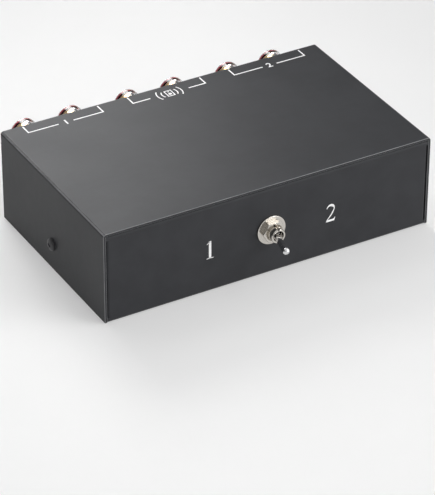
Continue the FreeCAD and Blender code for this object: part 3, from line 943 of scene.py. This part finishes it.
class SELECTOR_OT_cap_inserts(bpy.types.Operator):
    """Knurl the brass inserts inside the caps"""
    bl_idname = "selector.cap_inserts"
    bl_label = "Cap inserts"

    def execute(self, context):
        teeth = context.scene.selector_posts.teeth
        pattern = make_piece("insert_first", insert_mesh(teeth), [gold_flash()], sharp_above=30)
        fit_posts("insert_", pattern, "cap_insert_{name}", "brass", "insert_{name}")
        return {"FINISHED"}


class SELECTOR_OT_cap_rings(bpy.types.Operator):
    """Turn the coloured end rings of the caps"""
    bl_idname = "selector.cap_rings"
    bl_label = "Cap end rings"

    def execute(self, context):
        outline = [(3.56, 10.4, 0.03), (5.16, 10.5, 0.05), (5.16, 11.42, 0.1), (4.95, 11.42, 0.1),
                   (3.4, 10.72, 0.1), (3.3, 10.54, 0.04), (3.54, 10.54, 0.02)]
        pattern = make_piece("ring_red", soft_turned(outline), [red_ring_plastic()])
        fit_posts("ring_", pattern, "cap_ring_{name}", "ring_{colour}", "cap_{name}", [black_ring_plastic()])
        return {"FINISHED"}


class SELECTOR_OT_inner_fittings(bpy.types.Operator):
    """Finish the nuts and insulating plates behind the rear panel"""
    bl_idname = "selector.inner_fittings"
    bl_label = "Inner fittings"

    def execute(self, context):
        refined("post_inner_plates", "insulator", "case", insulator_plastic(), 0.15)
        refined("post_nuts", "brass_nut", "case", plain_brass(), 0.2)
        return {"FINISHED"}


def at_toggle(extra=0.0):
    return Vector((0, FRONT_Y + extra * MM, MID_Z))


class SELECTOR_OT_toggle_bushing(bpy.types.Operator):
    """Turn the bushing of the toggle switch and cut its keyway"""
    bl_idname = "selector.toggle_bushing"
    bl_label = "Toggle bushing"

    def execute(self, context):
        outline = [(2.15, -5.9, 0.25), (2.72, -5.9, 0.1), (3.0, -5.55, 0.15)]
        outline += [(3.0, 4.3, 0.05), (2.35, 4.3, 0.05), (2.35, 0.2, 0.05), (2.15, 0.0, 0.05)]
        body = soft_turned(outline)
        key = prism([(-0.5, 2.6), (0.5, 2.6), (0.5, 4.0), (-0.5, 4.0)], -7.0, 3.6)
        bm = combined(body, key, "DIFFERENCE")
        obj = make_piece("bushing", bm, [nickel_plate()], at_toggle(), 30)
        stands_for(obj, "toggle_bushing", "nickel", "case")
        return {"FINISHED"}


def hexagon(across):
    corner = across / math.sqrt(3)
    return [(corner * math.cos(math.radians(60 * i)), corner * math.sin(math.radians(60 * i)))
            for i in range(6)]


def panel_nut_mesh():
    """Hexagon nut with chamfered corners and a countersunk bore, 2 mm high from y = 0."""
    corner = NUT_ACROSS / math.sqrt(3) + 0.05
    blank = turned([(0, 0), (4.02, 0), (corner, 0.36), (corner, 1.64), (4.02, 2.0), (0, 2.0)], 96)
    nut = combined(prism(hexagon(NUT_ACROSS), -0.5, 2.5), blank, "INTERSECT")
    bore = turned([(0, -0.5), (3.52, -0.5), (3.52, 0.0), (3.02, 0.4), (3.02, 1.6), (3.52, 2.0), (3.52, 2.5),
                   (0, 2.5)], 72)
    return combined(nut, bore, "DIFFERENCE")


class SELECTOR_OT_toggle_hardware(bpy.types.Operator):
    """Make the washer, the hexagon nuts and the tooth washer of the toggle switch"""
    bl_idname = "selector.toggle_hardware"
    bl_label = "Toggle hardware"

    def execute(self, context):
        outline = [(3.1, -0.8, 0.1), (6.0, -0.8, 0.28), (6.0, 0.0, 0.1), (3.1, 0.0, 0.1)]
        washer = make_piece("front_washer", soft_turned(outline), [nickel_plate()], at_toggle())
        stands_for(washer, "toggle_washer", "nickel", "case")
        first = make_piece("front_nut", panel_nut_mesh(), [nickel_plate()], at_toggle(-2.8), 25)
        second = copy_piece(first, "rear_nut", at_toggle(1.5))
        for nut in (first, second):
            stands_for(nut, "toggle_nuts", "nickel", "case")
        refined("toggle_lock_washer", "steel", "case", bare_steel(), 0.06)
        return {"FINISHED"}


class SELECTOR_OT_toggle_lever(bpy.types.Operator):
    """Turn and polish the lever"""
    bl_idname = "selector.toggle_lever"
    bl_label = "Toggle lever"

    def execute(self, context):
        tip = [(1.4 * math.cos(math.radians(a)), -13.3 - 1.4 * math.sin(math.radians(a)))
               for a in range(80, -1, -10)]
        outline = [(0, 8.5), (0, -14.7)] + tip
        outline += [(1.38, -12.6), (1.33, -11.0), (1.23, -8.0), (1.12, -5.0), (1.03, -2.2), (1.0, -1.5)]
        outline += [(1.55, -1.05), (2.0, -0.7), (2.0, 0.7), (0.9, 1.4), (0.9, 8.4), (0.8, 8.5)]
        bm = turned(outline, 64)
        lean = Matrix.Rotation(-context.scene.selector_toggle.lean, 3, "Z")
        bmesh.ops.rotate(bm, verts=bm.verts, cent=(0, 0, 0), matrix=lean)
        obj = make_piece("lever", bm, [polished_lever()], at_toggle(-2.4), 45)
        stands_for(obj, "toggle_lever", "chrome", "lever")
        return {"FINISHED"}


class SELECTOR_OT_toggle_works(bpy.types.Operator):
    """Finish the pieces of the switch behind the front panel"""
    bl_idname = "selector.toggle_works"
    bl_label = "Toggle works"

    def execute(self, context):
        refined("toggle_frame", "steel", "case", bare_steel(), 0.08)
        refined("toggle_housing", "housing", "case", housing_plastic(), 0.12)
        refined("toggle_terminals", "brass_nut", "case", plain_brass(), 0.05)
        refined("toggle_contacts", "brass", "contacts", gold_flash(), 0.04)
        refined("toggle_actuator", "insulator", "lever", insulator_plastic(), 0.1)
        return {"FINISHED"}


def numeral_one():
    """Upright numeral with a flag and a foot, 7.6 mm tall, as pen strokes."""
    return [
        stroke([(0.05, -3.7), (0.05, 2.6), (0.05, 3.8)], [1.0, 1.0, 0.95]),
        stroke([(-1.35, 2.55), (-0.7, 2.95), (0.05, 3.62)], [0.18, 0.3, 0.36]),
        stroke([(-1.45, -3.68), (-0.5, -3.62), (0.05, -3.6), (0.6, -3.62), (1.55, -3.68)],
               [0.24, 0.3, 0.5, 0.3, 0.24]),
    ]


def numeral_two():
    """Numeral with a full bowl, a thin neck and a flat foot, 7.6 mm tall, as pen strokes."""
    bowl = arc_points(0.0, 1.75, 1.62, 168, -28, 22)
    weights = [0.34 + 0.72 * math.sin(math.pi * min(1.0, i / 20)) ** 2 * (0.35 + 0.65 * i / 22) * 1.45
               for i in range(len(bowl))]
    neck = [(1.2, 0.55), (0.5, -0.75), (-0.45, -1.85), (-1.35, -2.85), (-1.75, -3.35)]
    neck_weights = [(0.8 + weights[-1]) / 2, 0.55, 0.42, 0.34, 0.3]
    return [
        stroke(bowl + neck, weights + neck_weights),
        [(-2.0, -3.8), (1.75, -3.8), (2.2, -2.35), (1.95, -2.35), (1.6, -2.78), (1.1, -2.95),
         (-1.45, -2.95)],
    ]


class SELECTOR_OT_front_print(bpy.types.Operator):
    """Print the position numbers beside the toggle"""
    bl_idname = "selector.front_print"
    bl_label = "Front print"

    def execute(self, context):
        for label, x, outlines in (("1", -26.0, numeral_one()), ("2", 26.0, numeral_two())):
            print_on("front_number_" + label, "front", x, MID_Z / MM - 0.85, plates(outlines, PROUD))
        return {"FINISHED"}


def bracket(gap, line):
    """Bracket round one group of posts: a line with a gap, and two legs that run to the rear edge."""
    half, low, high = 16.0, -BRACKET_DEPTH, -0.9
    return [bar(-half, high, -half, low - line / 2, line), bar(half, high, half, low - line / 2, line),
            bar(-half + line / 2, low, -gap, low, line), bar(gap, low, half - line / 2, low, line)]


def loudspeaker_sign():
    """General sign for a loudspeaker: a cabinet with a cone, and two sound waves to each side."""
    marks = [bar(-1.4, -2.0, 1.4, -2.0, 0.42), bar(-1.4, 2.0, 1.4, 2.0, 0.42),
             bar(-1.4, -2.21, -1.4, 2.21, 0.42), bar(1.4, -2.21, 1.4, 2.21, 0.42)]
    marks.append(arc_points(0, -0.5, 0.72, 0, 345, 23))
    marks.append(arc_points(0, 1.15, 0.36, 0, 340, 17))
    for radius in (3.3, 5.3):
        marks.append(stroke(arc_points(0, 0, radius, -35, 35, 10), [0.45] * 11))
        marks.append(stroke(arc_points(0, 0, radius, 145, 215, 10), [0.45] * 11))
    return marks


class SELECTOR_OT_top_print(bpy.types.Operator):
    """Print the brackets and group numbers along the rear edge of the cover"""
    bl_idname = "selector.top_print"
    bl_label = "Top print"

    def execute(self, context):
        line = context.scene.selector_case.line / MM
        edge = COVER_HIGH.y / MM
        groups = (("amp1", -GROUP_X, 3.2), ("speaker", 0.0, 8.5), ("amp2", GROUP_X, 3.2))
        for name, x, gap in groups:
            print_on("bracket_" + name, "top", x, edge, plates(bracket(gap, line), PROUD))
        middle = edge - BRACKET_DEPTH
        for label, x in (("1", 0.1 - GROUP_X), ("2", GROUP_X - 0.1)):
            print_on("group_number_" + label, "top", x, middle, text_marks(label, 4.4, 0.1))
        print_on("loudspeaker_sign", "top", 0.0, middle, plates(loudspeaker_sign(), PROUD))
        return {"FINISHED"}


class SELECTOR_OT_rear_print(bpy.types.Operator):
    """Print the polarity signs and channel marks between the posts"""
    bl_idname = "selector.rear_print"
    bl_label = "Rear print"

    def execute(self, context):
        reach, line, middle = 1.9, 0.8, MID_Z / MM
        for name, x, label in (("amp1", -GROUP_X, "1"), ("speaker", 0.0, ""), ("amp2", GROUP_X, "2")):
            plus = [bar(-reach, 0, reach, 0, line), bar(0, -reach, 0, -line / 2, line),
                    bar(0, line / 2, 0, reach, line)]
            print_on("plus_" + name, "rear", x, PLUS_Z, plates(plus, PROUD))
            print_on("minus_" + name, "rear", x, MINUS_Z, plates(plus[:1], PROUD))
            for side, shift in (("L", -7.3), ("R", 7.3)):
                marks = text_marks(side, 4.0, 0.06)
                print_on("channel_" + name + "_" + side, "rear", x + shift, middle, marks)
            if label:
                print_on("input_" + name, "rear", x - 4.3, middle, text_marks(label, 4.0, 0.06))
        return {"FINISHED"}


def area_lamp(name, place, aim, width, height, power, fan=180):
    """Rectangular soft lamp; fan is the angle in degrees over which its light spreads."""
    lamp = bpy.data.lights.new(name, "AREA")
    lamp.shape = "RECTANGLE"
    lamp.size = width
    lamp.size_y = height
    lamp.energy = power
    lamp.spread = math.radians(fan)
    obj = new_object(name, lamp)
    obj.location = place
    obj.rotation_euler = (Vector(aim) - Vector(place)).to_track_quat("-Z", "Y").to_euler()
    obj.visible_camera = False


def white(tree, kind):
    node = add(tree, kind)
    node.inputs["Color"].default_value = (1, 1, 1, 1)
    return node


def mix_to_surface(tree, output, share, first, second):
    """Sends a mix of two shaders to the surface."""
    blend = add(tree, "ShaderNodeMixShader")
    for socket, source in zip(blend.inputs, (share, first.outputs[0], second.outputs[0])):
        tree.links.new(source, socket)
    tree.links.new(blend.outputs[0], output.inputs["Surface"])


def floor_finish():
    """Pale matt floor that shows a little whiter to the camera, and keeps the shadow."""
    settings = bpy.context.scene.selector_stage
    colour = tuple(settings.floor)
    material, tree, shader = new_finish("floor_finish", colour, 0.0, 0.6)
    grain = group_node(tree, "skin_grain", Size=1.5 * MM)
    two_tones(tree, shader, grain.outputs["Tone"], shade(colour, 0.985), shade(colour, 1.0))
    shader.inputs["Specular IOR Level"].default_value = 0.2
    output = next(node for node in tree.nodes if node.type == "OUTPUT_MATERIAL")
    path = add(tree, "ShaderNodeLightPath")
    seen = math_node(tree, "MAXIMUM", path.outputs["Is Camera Ray"], path.outputs["Is Glossy Ray"])
    seen = math_node(tree, "MAXIMUM", seen, path.outputs["Is Transmission Ray"])
    share = math_node(tree, "MULTIPLY", seen, WHITE_SHARE)
    mix_to_surface(tree, output, share, shader, white(tree, "ShaderNodeEmission"))
    return material


def studio_world():
    """Soft surround, brighter to the front right and overhead, darker behind the box."""
    world = bpy.data.worlds.new("studio")
    bpy.context.scene.world = world
    world.use_nodes = True
    tree = world.node_tree
    tree.nodes.clear()
    output = add(tree, "ShaderNodeOutputWorld")
    direction = add(tree, "ShaderNodeTexCoord").outputs["Generated"]
    facing = add(tree, "ShaderNodeVectorMath", operation="DOT_PRODUCT")
    facing.inputs[1].default_value = Vector((0.5, -0.6, 0.6)).normalized()
    tree.links.new(direction, facing.inputs[0])
    level = mapped(tree, facing.outputs["Value"], -0.3, 0.8, 0.1, 0.75)
    light = white(tree, "ShaderNodeBackground")
    tree.links.new(level, light.inputs["Strength"])
    seen = add(tree, "ShaderNodeLightPath").outputs["Is Camera Ray"]
    mix_to_surface(tree, output, seen, light, white(tree, "ShaderNodeBackground"))


class SELECTOR_OT_stage(bpy.types.Operator):
    """Lay the floor, hang the soft lamps and place the camera"""
    bl_idname = "selector.stage"
    bl_label = "Stage"

    def execute(self, context):
        scene = context.scene
        settings = scene.selector_stage
        bm = bmesh.new()
        bmesh.ops.create_circle(bm, cap_ends=True, segments=96, radius=3.0)
        mesh = bpy.data.meshes.new("floor")
        bm.to_mesh(mesh)
        bm.free()
        floor = new_object("floor", mesh)
        wear_material(floor, floor_finish())
        studio_world()
        area_lamp("key_lamp", (0.95, -0.8, 1.0), (0, 0, 0), 0.9, 0.7, settings.key)
        area_lamp("back_lamp", (-0.25, 0.75, 1.25), (0, 0, 0), 0.9, 0.4, settings.back)
        area_lamp("front_lamp", (0.55, -0.95, 0.09), (0, 0, 0.02), 0.5, 0.12, settings.front)
        area_lamp("near_panel", (0.03, 0.361, 0.256), (-0.03, 0, 0.0385), 0.26, 0.25, settings.panel, 45)
        camera = bpy.data.cameras.new("camera")
        camera.lens = VIEW_LENS
        camera.sensor_width = 36
        camera.clip_start = 0.05
        camera.clip_end = 20
        view = new_object("camera", camera)
        forward = Vector(VIEW_ALONG).normalized()
        right = forward.cross(Vector(VIEW_UP)).normalized()
        turn = Matrix((right, right.cross(forward), -forward)).transposed()
        view.matrix_world = Matrix.Translation(VIEW_FROM) @ turn.to_4x4()
        scene.camera = view
        scene.view_settings.view_transform = "Standard"
        return {"FINISHED"}


OPERATORS = (
    SELECTOR_OT_case_sheets, SELECTOR_OT_case_screws, SELECTOR_OT_post_collars, SELECTOR_OT_post_studs,
    SELECTOR_OT_cap_sleeves, SELECTOR_OT_cap_inserts, SELECTOR_OT_cap_rings, SELECTOR_OT_inner_fittings,
    SELECTOR_OT_toggle_bushing, SELECTOR_OT_toggle_hardware, SELECTOR_OT_toggle_lever,
    SELECTOR_OT_toggle_works, SELECTOR_OT_front_print, SELECTOR_OT_top_print, SELECTOR_OT_rear_print,
    SELECTOR_OT_stage,
)
SETTINGS = (("selector_case", CaseSettings), ("selector_posts", PostSettings),
            ("selector_toggle", ToggleSettings), ("selector_stage", StageSettings))


class VIEW3D_PT_selector(bpy.types.Panel):
    """Settings of the selector box and the steps that build it"""
    bl_idname = "VIEW3D_PT_selector"
    bl_label = "Speaker selector"
    bl_space_type = "VIEW_3D"
    bl_region_type = "UI"
    bl_category = "Selector"

    def draw(self, context):
        for label, group in SETTINGS:
            column = self.layout.column(align=True)
            for name in group.__annotations__:
                column.prop(getattr(context.scene, label), name)
        column = self.layout.column(align=True)
        for operator in OPERATORS:
            column.operator(operator.bl_idname)


def register():
    for label, group in SETTINGS:
        bpy.utils.register_class(group)
        setattr(bpy.types.Scene, label, PointerProperty(type=group))
    for operator in OPERATORS:
        bpy.utils.register_class(operator)
    bpy.utils.register_class(VIEW3D_PT_selector)


def unregister():
    bpy.utils.unregister_class(VIEW3D_PT_selector)
    for operator in reversed(OPERATORS):
        bpy.utils.unregister_class(operator)
    for label, group in reversed(SETTINGS):
        delattr(bpy.types.Scene, label)
        bpy.utils.unregister_class(group)


def main():
    register()
    for operator in OPERATORS:
        step = operator.bl_idname.split(".")[1]
        getattr(bpy.ops.selector, step)()


if __name__ == "__main__":
    main()
